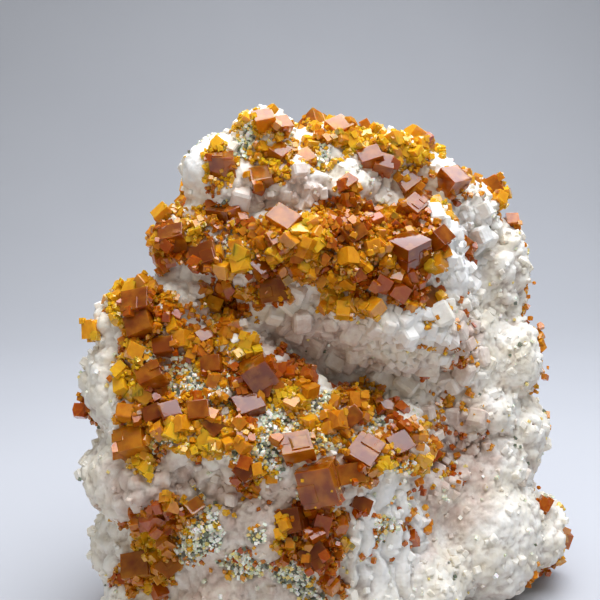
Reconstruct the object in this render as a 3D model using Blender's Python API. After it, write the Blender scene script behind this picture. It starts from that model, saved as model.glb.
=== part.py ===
"""Chabazite on matrix: a mineral specimen that stands on its own flat base.

One knobbly block of white zeolite crust, the matrix, carries amber chabazite. Each chabazite is a
rhombohedron that is nearly a cube, with flat faces. They sit singly or in groups grown together.
Metres, +Z up, front towards -Y. The origin is the middle of the flat base.
"""

import math
import random

import bmesh
import bpy
from mathutils import Matrix, Vector
from mathutils.bvhtree import BVHTree

MM = 0.001

# Driving dimensions, in millimetres.
ROCK_GRAIN = 1.25  # voxel that welds the lumps of the matrix into one skin
ROCK_TRIANGLES = 5600
WAVE, WAVE_DEPTH = 9.0, 2.4  # broad swelling of the skin: how far apart and how deep
KNOB, KNOB_DEPTH = 5.0, -2.2  # rounded knobs of the crust. A negative depth makes the cells stand out
GROWTH_GAP = 0.30  # between a crystal's root and the matrix
DEEP = 0.97  # crystals that still touch at this share of their size are joined in one solid
SMALLEST_SKIN = 22.0  # square millimetres: a cut-off scrap of crystal smaller than this is dropped
FLAT = math.radians(0.4)  # facets that lie flatter than this to each other are one face
SHORTEST_EDGE = 0.22  # shorter edges that the cut leaves along a crystal's root are closed up
EDGE_ANGLE = math.radians(94.0)  # between the edges at a chabazite's blunt corner
REAR_LUMPS = 95  # lumps scattered over the back and the flanks
REAR_LUMP_SIZES = (3.4, 6.8)
REAR_CLUSTERS = 15  # groups of crystals on the back, the sides and the top
REAR_CRYSTAL_SIZES = (3.4, 4.0, 4.6, 5.2, 6.0)
REAR_SPACING = 11.0  # between the middles of those groups
REAR_LOWEST = 8.0  # no crystal of theirs grows nearer to the ground
REAR_ROOT = 0.22  # how far their middles stand out of the rock, as a share of their size
RIB_LEAN = 1.2  # a hanging rib leans back this far as it goes down

# The front is laid out on a drawing plane seen in perspective from EYE, which looks down by SIGHT_DROP.
DRAWING_POINT = Vector((-4.0, -18.0, 66.0))
SIGHT_DROP = math.radians(10.0)
SIGHT_DISTANCE = 170.0
SIGHT = Vector((0.0, math.cos(SIGHT_DROP), -math.sin(SIGHT_DROP)))
DRAWING_UP = Vector((0.0, math.sin(SIGHT_DROP), math.cos(SIGHT_DROP)))
EYE = DRAWING_POINT - SIGHT * SIGHT_DISTANCE

# Lumps of the matrix: (x, y, z) of the middle and (x, y, z) radii, in millimetres.
CORE = [
    ((-9, 3, 18), (33, 24, 24)),
    ((-23, 3, 36), (18, 20, 24)),
    ((-14, -6, 21), (24, 17, 23)),
    ((-2, 21, 40), (29, 14, 38)),
    ((2, 11, 70), (24, 18, 21)),
    ((23, 17, 40), (18, 15, 33)),
    ((30, 11, 14), (16, 18, 16)),
    ((-16, 6, 64), (13, 13, 13)),
]
CROWN = [
    ((-21.5, -6, 86.5), (3.0, 4.0, 4.2)),
    ((-18.5, -4, 90.0), (3.6, 4.0, 3.6)),
    ((-15.5, -4, 84.0), (7.0, 7.5, 6.5)),
    ((-10.5, -1, 92.5), (6.0, 7.0, 5.8)),
    ((-6.0, -3, 84.5), (8.0, 7.5, 6.0)),
    ((0.5, 3, 90.5), (6.0, 7.0, 4.6)),
    ((5.0, 0, 84.0), (7.5, 8.5, 6.0)),
    ((10.0, 5, 89.0), (6.5, 7.0, 4.8)),
    ((16.0, 5, 90.0), (3.2, 3.6, 3.8)),
    ((20.5, 10, 84.0), (7.0, 8.0, 5.5)),
    ((27.5, 15, 77.5), (8.0, 9.0, 7.0)),
    ((35.0, 18, 66.0), (8.0, 9.0, 9.5)),
]
MIDDLE_BAND = [
    ((-1.0, -1, 70.0), (21.0, 12.0, 9.5)),
    ((-24.0, -6, 75.0), (5.0, 6.0, 5.5)),
    ((-25.0, -4, 67.5), (5.0, 6.0, 5.0)),
    ((-20.0, -6, 74.0), (7.0, 7.5, 7.0)),
    ((-12.5, -8, 73.0), (7.0, 7.0, 6.5)),
    ((-5.0, -9, 74.0), (7.0, 7.0, 6.0)),
    ((3.5, -8, 73.0), (7.0, 7.5, 6.5)),
    ((12.0, -6, 70.5), (7.5, 7.5, 6.5)),
    ((18.5, -3, 74.5), (6.0, 7.0, 7.0)),
    ((22.0, 2, 66.0), (6.0, 7.0, 8.0)),
]
UNDERSIDE = [
    ((-9.0, -6, 63.5), (5.5, 6.0, 5.0)),
    ((-2.5, -7, 61.0), (4.4, 5.0, 4.2)),
    ((3.5, -9, 62.5), (4.4, 5.0, 3.8)),
    ((9.5, -9, 61.5), (4.8, 5.5, 4.4)),
    ((15.0, -8, 60.5), (4.4, 5.5, 4.6)),
    ((20.0, -5, 60.0), (4.4, 5.0, 4.4)),
    ((-6.5, -4, 58.0), (4.6, 5.0, 4.2)),
    ((-1.0, -1, 54.5), (4.4, 5.0, 4.0)),
    ((2.5, -4, 57.0), (4.0, 4.6, 3.8)),
    ((8.0, -5, 56.0), (3.6, 4.6, 3.6)),
    ((13.0, -4, 55.0), (4.2, 5.0, 4.0)),
    ((18.5, -2, 54.0), (4.4, 5.0, 4.4)),
    ((23.0, 1, 55.5), (4.4, 5.0, 4.8)),
    ((6.5, 1, 52.5), (4.4, 5.0, 3.6)),
    ((13.5, 2, 50.0), (4.2, 5.0, 3.8)),
]
RECESS = [
    ((-3.5, -4, 50.5), (4.6, 5.5, 4.4)),
    ((0.5, 0, 49.5), (5.0, 6.0, 4.6)),
    ((5.5, 2, 47.5), (5.0, 6.0, 4.8)),
    ((11.0, 2, 46.5), (5.2, 6.0, 4.8)),
    ((16.5, 3, 44.5), (5.2, 6.0, 5.0)),
    ((5.0, -3, 42.5), (5.0, 6.0, 4.4)),
    ((11.0, -3, 41.5), (5.0, 6.0, 4.4)),
    ((17.5, 0, 38.0), (5.0, 6.0, 5.0)),
]
RIGHT_FLANK = [
    ((22.0, 6, 45.0), (5.5, 6.0, 5.5)),
    ((27.0, 8, 49.0), (6.5, 7.0, 5.5)),
    ((24.5, 7, 35.5), (6.0, 6.5, 6.0)),
    ((31.0, 8, 39.0), (7.0, 7.5, 6.0)),
    ((26.5, 5, 26.0), (6.5, 7.0, 7.5)),
    ((34.0, 8, 28.0), (7.0, 8.0, 7.5)),
    ((27.0, 3, 15.0), (7.0, 7.5, 8.5)),
    ((36.0, 6, 16.0), (7.5, 9.0, 9.0)),
    ((38.5, 14, 48.0), (6.5, 9.0, 9.0)),
    ((41.0, 14, 32.0), (6.0, 9.0, 9.0)),
]
SLOPE = [
    ((-34.0, -8, 60.0), (6.5, 8.0, 6.5)),
    ((-27.0, -8, 62.0), (7.0, 8.0, 6.0)),
    ((-24.5, -9, 54.5), (8.0, 8.5, 6.5)),
    ((-18.0, -10, 55.0), (7.5, 7.5, 6.5)),
    ((-12.5, -12, 51.5), (7.0, 7.5, 6.0)),
    ((-5.0, -13, 46.5), (6.5, 7.5, 6.0)),
    ((1.5, -13, 42.5), (6.0, 7.5, 5.5)),
    ((-36.0, -10, 49.0), (7.5, 8.5, 8.0)),
    ((-31.0, -14, 45.0), (7.5, 8.0, 7.5)),
    ((-20.5, -14, 48.5), (7.5, 7.5, 6.0)),
    ((-10.0, -16, 44.5), (6.5, 7.0, 5.5)),
    ((-30.0, -12, 53.0), (6.5, 7.5, 6.5)),
    ((-1.0, -17, 40.5), (6.0, 6.5, 5.0)),
]
BROW = [
    ((-23.0, -18, 43.5), (7.5, 8.0, 6.5)),
    ((-14.0, -20, 41.0), (7.5, 7.5, 6.5)),
    ((-5.0, -20, 38.0), (7.0, 7.5, 6.0)),
    ((3.5, -18, 36.0), (6.5, 7.0, 5.5)),
    ((9.5, -14, 36.5), (5.5, 7.0, 5.5)),
    ((13.0, -9, 40.0), (4.8, 6.5, 5.0)),
]
FRONT_WALL = [
    ((-35.5, -13, 33.5), (7.5, 9.0, 7.5)),
    ((-28.5, -19, 34.5), (7.0, 7.5, 6.0)),
    ((-35.0, -8, 18.0), (8.0, 9.0, 9.0)),
    ((-28.0, -12, 19.0), (6.5, 6.5, 8.0)),
    ((-33.0, -15, 7.0), (7.0, 7.5, 7.0)),
    ((-19.5, -19, 27.0), (6.0, 7.5, 10.0)),
    ((-10.5, -20, 27.0), (6.5, 7.5, 10.5)),
    ((-17.0, -18, 12.0), (7.5, 8.5, 12.0)),
    ((-2.5, -19, 24.5), (6.0, 7.5, 9.5)),
    ((-4.5, -17, 11.0), (8.0, 9.0, 11.5)),
    ((-25.0, -14, 6.0), (8.0, 8.5, 8.0)),
    ((6.0, -13, 9.0), (9.0, 9.5, 11.0)),
    ((17.0, -6, 8.0), (10.0, 11.0, 11.0)),
]
# Ribs that hang down the right of the front wall: (x, y, z) of the top, length, radius.
RIBS = [
    ((1.0, -21.0, 33.0), 12.0, 2.4),
    ((4.4, -20.0, 35.0), 18.0, 2.3),
    ((7.8, -18.6, 36.0), 24.0, 2.4),
    ((11.0, -16.0, 36.5), 21.0, 2.5),
    ((13.8, -13.0, 36.0), 17.0, 2.3),
    ((16.2, -9.5, 37.0), 22.0, 2.4),
]


def lump(mesh, centre, radii):
    """Adds one rounded lump to a bmesh."""
    size = Matrix.Diagonal((*(Vector(radii) * MM), 1.0))
    place = Matrix.Translation(Vector(centre) * MM)
    bmesh.ops.create_icosphere(mesh, subdivisions=3, radius=1.0, matrix=place @ size)


def rib(mesh, top, length, radius):
    """Adds one hanging rib: a row of lumps that leans back as it goes down."""
    steps = max(2, round(length / (radius * 1.1)))
    for step in range(steps + 1):
        share = step / steps
        centre = Vector(top) + Vector((0.0, RIB_LEAN * share, -length * share))
        lump(mesh, centre, (radius * (1.0 - 0.25 * share), radius * 1.3, radius * 1.4))


def rear_lumps(mesh):
    """Scatters lumps over the back and the flanks of the core, so that they are as rough as the front."""
    chance = random.Random(11)
    for _ in range(REAR_LUMPS):
        middle, radii = CORE[chance.randrange(len(CORE))]
        turn = chance.uniform(-0.12, 1.12) * math.pi
        rise = math.asin(chance.uniform(-0.75, 0.95))
        out = Vector((math.cos(rise) * math.cos(turn), math.cos(rise) * math.sin(turn), math.sin(rise)))
        place = Vector(middle) + Vector(map(lambda r, o: r * o * 0.97, radii, out))
        size = chance.uniform(*REAR_LUMP_SIZES)
        wide, tall = size * chance.uniform(0.85, 1.2), size * chance.uniform(0.75, 1.1)
        lump(mesh, place, (wide, size, tall))


def clear_scene():
    for obj in list(bpy.data.objects):
        bpy.data.objects.remove(obj, do_unlink=True)


def new_object(name, mesh):
    """Links a new object that holds a finished bmesh or a mesh."""
    data = mesh
    if isinstance(mesh, bmesh.types.BMesh):
        data = bpy.data.meshes.new(name)
        mesh.to_mesh(data)
        mesh.free()
    obj = bpy.data.objects.new(name, data)
    bpy.context.scene.collection.objects.link(obj)
    return obj


def apply_modifiers(obj):
    """Replaces an object's mesh with the one that its modifiers make."""
    graph = bpy.context.evaluated_depsgraph_get()
    made = bpy.data.meshes.new_from_object(obj.evaluated_get(graph))
    obj.modifiers.clear()
    obj.data = made


def weld(obj):
    """Makes one closed skin of everything in the object."""
    skin = obj.modifiers.new("weld", "REMESH")
    skin.mode = "VOXEL"
    skin.voxel_size = ROCK_GRAIN * MM


def swell(obj, texture_kind, grain, strength):
    """Pushes the skin in and out by a solid noise whose lumps are about grain millimetres across."""
    texture = bpy.data.textures.new(f"{texture_kind}_{grain}", texture_kind)
    texture.noise_scale = grain * MM
    push = obj.modifiers.new("swell", "DISPLACE")
    push.texture = texture
    push.texture_coords = "LOCAL"
    push.strength = strength * MM
    push.mid_level = 0.5


def cut_base(obj):
    """Cuts the rock off flat at z = 0 and closes the cut with one flat face."""
    rock = bmesh.new()
    rock.from_mesh(obj.data)
    everything = rock.verts[:] + rock.edges[:] + rock.faces[:]
    cut = bmesh.ops.bisect_plane(
        rock, geom=everything, plane_co=(0, 0, 0), plane_no=(0, 0, -1), clear_outer=True
    )
    rim = [item for item in cut["geom_cut"] if isinstance(item, bmesh.types.BMEdge)]
    bmesh.ops.holes_fill(rock, edges=rim)
    bmesh.ops.triangulate(rock, faces=rock.faces[:])
    bmesh.ops.recalc_face_normals(rock, faces=rock.faces[:])
    rock.verts.index_update()
    largest = piece_of(connected_pieces(rock)[0])
    largest.to_mesh(obj.data)
    largest.free()
    rock.free()


def connected_pieces(mesh):
    """The faces of each connected piece of a bmesh, largest skin first."""
    mesh.faces.index_update()
    pieces, seen = [], set()
    for start in mesh.faces:
        if start.index in seen:
            continue
        seen.add(start.index)
        piece = [start]
        for face in piece:
            for edge in face.edges:
                if len(edge.link_faces) != 2:
                    continue
                for other in edge.link_faces:
                    if other.index not in seen:
                        seen.add(other.index)
                        piece.append(other)
        pieces.append(piece)
    return sorted(pieces, key=skin_area, reverse=True)


def skin_area(piece):
    return sum(face.calc_area() for face in piece)


def piece_of(piece):
    """A bmesh of its own that holds one connected piece, in triangles."""
    made, copies = bmesh.new(), {}
    for face in piece:
        for vert in face.verts:
            if vert.index not in copies:
                copies[vert.index] = made.verts.new(vert.co)
        made.faces.new([copies[vert.index] for vert in face.verts])
    bmesh.ops.triangulate(made, faces=made.faces[:])
    return made


def without_slivers(mesh):
    """Closes up the short edges of a crystal's skin and lays its triangles anew."""
    bmesh.ops.dissolve_limit(mesh, angle_limit=FLAT, verts=mesh.verts[:], edges=mesh.edges[:])
    bmesh.ops.dissolve_degenerate(mesh, dist=SHORTEST_EDGE * MM, edges=mesh.edges[:])
    bmesh.ops.triangulate(mesh, faces=mesh.faces[:], ngon_method="BEAUTY")
    return mesh


def make_matrix():
    """The white crust and the rock in it: one solid with a flat base."""
    rock = bmesh.new()
    for group in (CORE, CROWN, MIDDLE_BAND, UNDERSIDE, RECESS, RIGHT_FLANK, SLOPE, BROW, FRONT_WALL):
        for centre, radii in group:
            lump(rock, centre, radii)
    for top, length, radius in RIBS:
        rib(rock, top, length, radius)
    rear_lumps(rock)
    obj = new_object("matrix", rock)
    weld(obj)
    swell(obj, "CLOUDS", WAVE, WAVE_DEPTH)
    swell(obj, "VORONOI", KNOB, KNOB_DEPTH)
    weld(obj)
    apply_modifiers(obj)
    thin = obj.modifiers.new("thin", "DECIMATE")
    thin.ratio = ROCK_TRIANGLES / (2 * len(obj.data.polygons))
    apply_modifiers(obj)
    cut_base(obj)
    return obj


# The large crystals seen from the front. Each row: name, (across, up) of its middle on the drawing plane,
# (a, b, c) edge lengths, (turn, rise) of the top face's normal in degrees, spin of edge a in that face, and
# how far the middle stands out of the rock as a share of c.
FRONT_CRYSTALS = [
    ("tablet", (-2.7, 13.4), (5.1, 4.1, 3.0), (0, 50), -40, 0.30),
    ("ledge_left", (-13.6, 14.2), (4.0, 3.0, 3.4), (-4, 72), -14, 0.25),
    ("shoulder_left", (-13.2, 23.0), (4.4, 3.4, 4.0), (-8, 72), 6, 0.25),
    ("horn_left", (-21.4, 10.3), (4.4, 4.0, 4.2), (-25, 58), 24, 0.30),
    ("pink_left", (-6.7, 5.4), (3.2, 3.0, 3.2), (15, 38), 35, 0.30),
    ("underhang", (-4.3, 1.5), (4.6, 4.2, 4.0), (-10, 20), 12, 0.30),
    ("plum", (8.8, 11.5), (3.8, 3.4, 3.4), (20, 25), 28, 0.30),
    ("plum_crest", (9.0, 14.6), (2.8, 2.6, 2.4), (-20, 50), 10, 0.30),
    ("right_large", (18.5, 8.2), (5.4, 5.0, 5.4), (-4, 64), 42, 0.25),
    ("right_lower", (16.4, 2.7), (4.4, 3.4, 3.8), (6, 52), -8, 0.35),
    ("right_low", (21.6, 0.2), (4.2, 3.8, 4.0), (25, 30), 15, 0.30),
    ("right_high", (19.1, 15.7), (3.8, 3.4, 3.6), (25, 42), 32, 0.30),
    ("right_rim", (23.5, 10.4), (4.0, 3.2, 3.6), (40, 38), 20, 0.30),
    ("far_ledge", (12.1, 24.0), (4.0, 3.4, 3.6), (-15, 45), 25, 0.30),
    ("far_ledge_twin", (14.0, 23.0), (3.6, 3.2, 3.2), (20, 40), -20, 0.30),
    ("far_small", (8.0, 19.8), (2.8, 2.4, 2.6), (10, 45), 40, 0.30),
    ("summit_right", (6.5, 29.0), (4.0, 3.6, 3.6), (10, 50), 30, 0.35),
    ("summit", (-6.0, 30.4), (3.6, 3.4, 3.2), (-10, 55), 20, 0.35),
    ("summit_twin", (-3.2, 29.6), (3.0, 2.8, 2.8), (30, 45), 5, 0.35),
    ("upper_centre", (0.8, 23.8), (3.2, 3.0, 3.0), (0, 45), 30, 0.30),
    ("upper_left", (-6.4, 20.8), (3.6, 3.2, 3.2), (-12, 40), 15, 0.30),
    ("upper_middle", (-3.6, 24.8), (3.2, 2.8, 3.0), (20, 48), 38, 0.30),
    ("slope_far_right", (25.8, 20.2), (4.6, 4.2, 4.2), (30, 50), 10, 0.30),
    ("notch_left", (-15.8, 7.3), (4.6, 4.2, 4.0), (-20, 30), 22, 0.30),
    ("notch_small", (-11.6, 1.5), (3.2, 2.8, 2.8), (5, 35), 30, 0.30),
    ("slope_upper", (-7.1, -12.2), (4.8, 4.4, 4.8), (10, -6), 30, 0.38),
    ("slope_dark", (-1.9, -13.4), (4.6, 4.2, 4.4), (28, 22), -12, 0.30),
    ("slope_lilac", (-8.6, -18.2), (4.6, 4.0, 3.8), (0, 52), 24, 0.35),
    ("slope_pink", (-22.9, -8.1), (3.6, 3.0, 3.2), (-10, 40), 12, 0.30),
    ("slope_mid", (-16.2, -6.4), (2.8, 2.4, 2.6), (10, 48), 25, 0.30),
    ("slope_mid_low", (-14.8, -11.1), (3.4, 3.0, 3.2), (-15, 35), 10, 0.30),
    ("slope_edge", (-25.2, -13.0), (4.2, 3.6, 3.8), (-20, 45), 35, 0.30),
    ("rim_left", (-27.2, -0.9), (5.0, 4.4, 4.6), (-25, 45), 18, 0.30),
    ("rim_left_low", (-26.7, -4.4), (4.6, 4.0, 4.4), (-24, 34), 30, 0.28),
    ("brow_left", (-22.0, -19.0), (3.4, 3.0, 3.0), (5, 38), 15, 0.30),
    ("brow_left_twin", (-24.6, -19.6), (3.2, 3.0, 3.0), (-20, 42), 30, 0.30),
    ("cleft_top", (-28.2, -24.4), (5.2, 4.6, 4.8), (-26, 44), 24, 0.28),
    ("brow_mid", (-17.0, -19.0), (3.6, 3.2, 3.2), (-5, 40), 8, 0.30),
    ("brow_mid_low", (-14.5, -21.3), (3.6, 3.2, 3.2), (12, 32), 34, 0.30),
    ("brow_drop", (-9.2, -28.8), (3.2, 2.9, 3.0), (-6, 22), 46, 0.30),
    ("brow_drop_high", (-9.0, -24.4), (3.0, 2.8, 2.8), (-18, 40), 36, 0.30),
    ("crest_lilac", (-0.5, -25.1), (5.2, 4.2, 4.0), (-8, 52), 16, 0.35),
    ("great_cube", (3.4, -31.0), (5.9, 6.3, 6.2), (-8, 5), 13, 0.38),
    ("crest_peak", (10.6, -26.2), (5.2, 4.8, 5.0), (14, 46), 46, 0.35),
    ("crest_peak_foot", (8.4, -29.4), (4.4, 3.4, 3.4), (12, 20), 6, 0.30),
    ("peak_drop", (10.4, -34.7), (3.4, 2.5, 2.8), (15, 24), -30, 0.30),
    ("dark_cluster", (2.2, -38.4), (5.6, 5.0, 5.2), (-16, 34), 46, 0.28),
    ("dark_cluster_left", (-1.2, -37.6), (4.4, 4.0, 4.2), (-26, 28), 20, 0.28),
    ("dark_cluster_low", (2.8, -43.4), (4.4, 4.0, 4.2), (-10, 26), 34, 0.25),
    ("hollow_edge", (16.6, -24.6), (4.2, 3.6, 3.8), (20, 38), 18, 0.30),
    ("hollow_small", (8.8, -20.0), (3.4, 3.0, 3.2), (5, 35), 34, 0.30),
    ("hollow_far", (15.0, -18.4), (3.2, 2.8, 3.0), (25, 40), 10, 0.30),
    ("cleft_left", (-22.4, -37.4), (4.8, 4.2, 4.4), (-14, 28), 20, 0.28),
    ("cleft_yellow", (-17.9, -35.2), (2.8, 2.4, 2.6), (10, 40), 32, 0.30),
    ("foot_left", (-27.1, -45.4), (5.2, 4.6, 4.8), (-24, 40), 20, 0.28),
    ("foot_left_twin", (-22.2, -45.2), (3.8, 3.4, 3.6), (10, 34), 38, 0.28),
]

AMBER = (0.78, 0.29, 0.02, 1.0)
CRUST = (0.83, 0.82, 0.80, 1.0)


def crystal(mesh, place, edges, normal, spin):
    """Adds one chabazite: a rhombohedron with its middle at place and its top face square to normal."""
    along = Vector((0.0, 0.0, 1.0)).cross(normal)
    along = along.normalized() if along.length > 0.01 else Vector((1.0, 0.0, 0.0))
    side = normal.cross(along)
    first = along * math.cos(spin) + side * math.sin(spin)
    square = normal.cross(first)
    slant = math.cos(EDGE_ANGLE)
    second = first * slant + square * math.sin(EDGE_ANGLE)
    lift = (slant - slant * slant) / math.sin(EDGE_ANGLE)
    third = first * slant + square * lift + normal * math.sqrt(1.0 - slant * slant - lift * lift)
    a, b, c = edges
    columns = (first * a, second * b, third * c)
    shape = Matrix([[column[row] * MM for column in columns] for row in range(3)]).to_4x4()
    bmesh.ops.create_cube(mesh, size=1.0, matrix=Matrix.Translation(place * MM) @ shape)


def facing(turn, rise):
    """The direction that a face looks in: turn is towards +X from the front, rise is above level."""
    turn, rise = math.radians(turn), math.radians(rise)
    return Vector((math.sin(turn) * math.cos(rise), -math.cos(turn) * math.cos(rise), math.sin(rise)))


def rock_tree(matrix):
    points = [vert.co / MM for vert in matrix.data.vertices]
    return BVHTree.FromPolygons(points, [tuple(face.vertices) for face in matrix.data.polygons])


def drawn_point(tree, across, up, outwards):
    """Where a point of the drawing plane lies on the rock, in millimetres, moved towards the eye."""
    target = DRAWING_POINT + Vector((across, 0.0, 0.0)) + DRAWING_UP * up
    ray = (target - EYE).normalized()
    hit = tree.ray_cast(EYE, ray)[0]
    if hit is None:
        steps = [EYE + ray * (SIGHT_DISTANCE * 0.8 + step) for step in range(80)]
        hit = min(steps, key=lambda point: tree.find_nearest(point)[3])
    return hit - ray * outwards


def front_crystals(tree):
    """(name, middle, edges, normal, spin) of each crystal seen from the front."""
    made = []
    for name, (across, up), edges, (turn, rise), spin, proud in FRONT_CRYSTALS:
        place = drawn_point(tree, across, up, proud * edges[2])
        made.append((name, place, edges, facing(turn, rise), math.radians(spin)))
    return made


def rear_crystals(tree):
    """(name, middle, edges, normal, spin) of the crystals on the back, the sides and the top, in clusters."""
    chance, made, middles = random.Random(7), [], []
    while len(middles) < REAR_CLUSTERS:
        turn, height = chance.uniform(-0.15, 1.15) * math.pi, chance.uniform(14.0, 96.0)
        out = Vector((math.cos(turn), math.sin(turn), 0.45))
        hit, normal = tree.ray_cast(Vector((0, 6, height)) + out * 90.0, -out)[:2]
        if hit is None or normal.z < -0.05 or hit.y < 2.0 or hit.z < REAR_LOWEST:
            continue
        if any((hit - middle).length < REAR_SPACING for middle in middles):
            continue
        middles.append(hit)
        for member in range(chance.choice((1, 2, 2, 3))):
            size = chance.choice(REAR_CRYSTAL_SIZES) * (1.0 - 0.14 * member)
            away = Vector([chance.uniform(-1.0, 1.0) for _ in range(3)]).normalized()
            root, outwards = tree.find_nearest(hit + away * size * (0.9 if member else 0.0))[:2]
            edges = tuple(size * chance.uniform(0.85, 1.1) for _ in range(3))
            jolt = Vector([chance.uniform(-0.6, 0.6) for _ in range(3)])
            top = (outwards + jolt).normalized()
            place, spin = root + outwards * size * REAR_ROOT, chance.uniform(0, math.pi)
            if all((place - other[1]).length > size * 0.7 for other in made):
                made.append((f"rear_{len(middles)}" + "abc"[member], place, edges, top, spin))
    return made


def groups_of(crystals):
    """Crystals that run into one another are one group. One that would only graze another isn't grown."""
    kept, group = [], []
    for one in crystals:
        deep = [hulls_touch(one, other, DEEP) for other in kept]
        near = [hulls_touch(one, other, 1.0 / DEEP) for other in kept]
        if near != deep:
            continue
        joined = {group[index] for index, touches in enumerate(deep) if touches}
        kept.append(one)
        group = [len(kept) if each in joined else each for each in group] + [len(kept)]
    return [[one for one, each in zip(kept, group) if each == label] for label in dict.fromkeys(group)]


def hulls_touch(first, second, share):
    """Whether two crystals touch when each is drawn at a share of its size."""
    trees = []
    for _, place, edges, normal, spin in (first, second):
        one = bmesh.new()
        crystal(one, place, [edge * share for edge in edges], normal, spin)
        trees.append(BVHTree.FromBMesh(one))
        one.free()
    return bool(trees[0].overlap(trees[1]))


def swollen(matrix):
    """A hidden copy of the rock that is larger by the growth gap. It cuts the roots of the crystals."""
    copy = new_object("root_cutter", matrix.data.copy())
    for vert, normal in zip(copy.data.vertices, [v.normal.copy() for v in matrix.data.vertices]):
        vert.co += normal * GROWTH_GAP * 1.3 * MM
    copy.hide_render = True
    copy.display_type = "WIRE"
    return copy


def boolean(obj, other, operation):
    """Joins another object to this one, or cuts it off."""
    modifier = obj.modifiers.new("join", "BOOLEAN")
    modifier.operation = operation
    modifier.solver = "EXACT"
    modifier.object = other
    apply_modifiers(obj)


def grow(group, cutter):
    """Solids from a group of crystals: joined where they meet, and cut off where the rock begins."""
    joined = None
    for name, place, edges, normal, spin in group:
        mesh = bmesh.new()
        crystal(mesh, place, edges, normal, spin)
        one = new_object("one", mesh)
        if joined is None:
            joined = one
            continue
        boolean(joined, one, "UNION")
        bpy.data.objects.remove(one, do_unlink=True)
    boolean(joined, cutter, "DIFFERENCE")
    grown, names = [], {name: place for name, place, *_ in group}
    whole = bmesh.new()
    whole.from_mesh(joined.data)
    whole.verts.index_update()
    for piece in connected_pieces(whole):
        if skin_area(piece) < SMALLEST_SKIN * MM * MM:
            continue
        middle = sum((face.calc_center_median() for face in piece), Vector()) / len(piece) / MM
        name = min(names, key=lambda each: (names[each] - middle).length)
        del names[name]
        grown.append(new_object("chabazite_" + name, without_slivers(piece_of(piece))))
    whole.free()
    bpy.data.objects.remove(joined, do_unlink=True)
    return grown


def material(name, colour, roughness):
    made = bpy.data.materials.new(name)
    made.use_nodes = True
    shader = made.node_tree.nodes["Principled BSDF"]
    shader.inputs["Base Color"].default_value = colour
    shader.inputs["Roughness"].default_value = roughness
    shader.inputs["Metallic"].default_value = 0.0
    return made


def main():
    clear_scene()
    matrix = make_matrix()
    matrix.data.materials.clear()
    matrix.data.materials.append(material("zeolite_crust", CRUST, 0.75))
    tree = rock_tree(matrix)
    cutter = swollen(matrix)
    amber = material("chabazite", AMBER, 0.12)
    for group in groups_of(front_crystals(tree) + rear_crystals(tree)):
        for obj in grow(group, cutter):
            obj.data.materials.clear()
            obj.data.materials.append(amber)


main()
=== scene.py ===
"""Chabazite on matrix: a cabinet specimen of amber rhombs on white zeolite crust, dressed for a picture."""

import math

import bmesh
import bpy
import numpy as np
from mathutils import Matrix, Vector, noise
from mathutils.bvhtree import BVHTree
from mathutils.kdtree import KDTree


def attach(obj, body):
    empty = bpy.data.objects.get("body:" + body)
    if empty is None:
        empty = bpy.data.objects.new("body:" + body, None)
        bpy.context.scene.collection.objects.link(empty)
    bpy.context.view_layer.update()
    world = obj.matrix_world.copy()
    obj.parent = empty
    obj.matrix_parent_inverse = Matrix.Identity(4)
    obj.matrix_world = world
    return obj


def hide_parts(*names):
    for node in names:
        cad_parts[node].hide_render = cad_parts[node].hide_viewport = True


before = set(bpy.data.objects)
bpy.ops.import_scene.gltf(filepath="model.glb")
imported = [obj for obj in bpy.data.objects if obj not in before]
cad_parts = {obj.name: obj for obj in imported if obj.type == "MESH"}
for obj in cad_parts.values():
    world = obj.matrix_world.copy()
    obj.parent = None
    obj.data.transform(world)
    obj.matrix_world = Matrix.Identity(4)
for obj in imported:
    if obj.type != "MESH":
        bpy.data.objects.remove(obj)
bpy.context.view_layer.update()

MM = 0.001


# ---- Camera, floor and light ------------------------------------------------------------------------------
# The studio isn't part of the specimen: a camera that looks down a little on it, a pale seamless sweep,
# one wide softbox overhead that the lying crystal faces mirror, a weaker light beside it and a weak warm fill
# from the front that they don't mirror.

SIGHT_DROP = math.radians(10.0)
EYE = Vector((-4.0, -185.4, 95.5))  # millimetres, as the drawing planes below
SIGHT = Vector((0.0, math.cos(SIGHT_DROP), -math.sin(SIGHT_DROP)))
SIGHT_UP = Vector((0.0, math.sin(SIGHT_DROP), math.cos(SIGHT_DROP)))
SIGHT_DISTANCE = 170.0  # from the eye to the drawing plane through the specimen

camera_data = bpy.data.cameras.new("camera")
camera_data.lens = 60.0
camera_data.sensor_width = 36.0
camera_data.clip_start = 0.005
camera = bpy.data.objects.new("camera", camera_data)
bpy.context.scene.collection.objects.link(camera)
camera.location = EYE * MM
camera.rotation_euler = (math.pi / 2 - SIGHT_DROP, 0.0, 0.0)
bpy.context.scene.camera = camera
bpy.context.scene.view_settings.view_transform = "Standard"


def linear(hex_colour):
    """An sRGB hex colour as the linear RGBA that a shader takes."""
    parts = [int(hex_colour[i : i + 2], 16) / 255 for i in (1, 3, 5)]
    return tuple([c / 12.92 if c < 0.04045 else ((c + 0.055) / 1.055) ** 2.4 for c in parts] + [1.0])


def new_material(name):
    """An empty node material with its Principled shader: (material, node tree, shader)."""
    made = bpy.data.materials.new(name)
    made.use_nodes = True
    return made, made.node_tree, made.node_tree.nodes["Principled BSDF"]


def node(tree, kind, settings=(), **links):
    """Adds a node. settings are its properties and input values; links name an input and its socket."""
    made = tree.nodes.new(kind)
    for key, value in dict(settings).items():
        if hasattr(made, key):
            setattr(made, key, value)
        else:
            made.inputs[int(key[1:]) if key[0] == "_" else key.replace("_", " ")].default_value = value
    for key, socket in links.items():
        tree.links.new(socket, made.inputs[int(key[1:]) if key[0] == "_" else key.replace("_", " ")])
    return made


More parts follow.
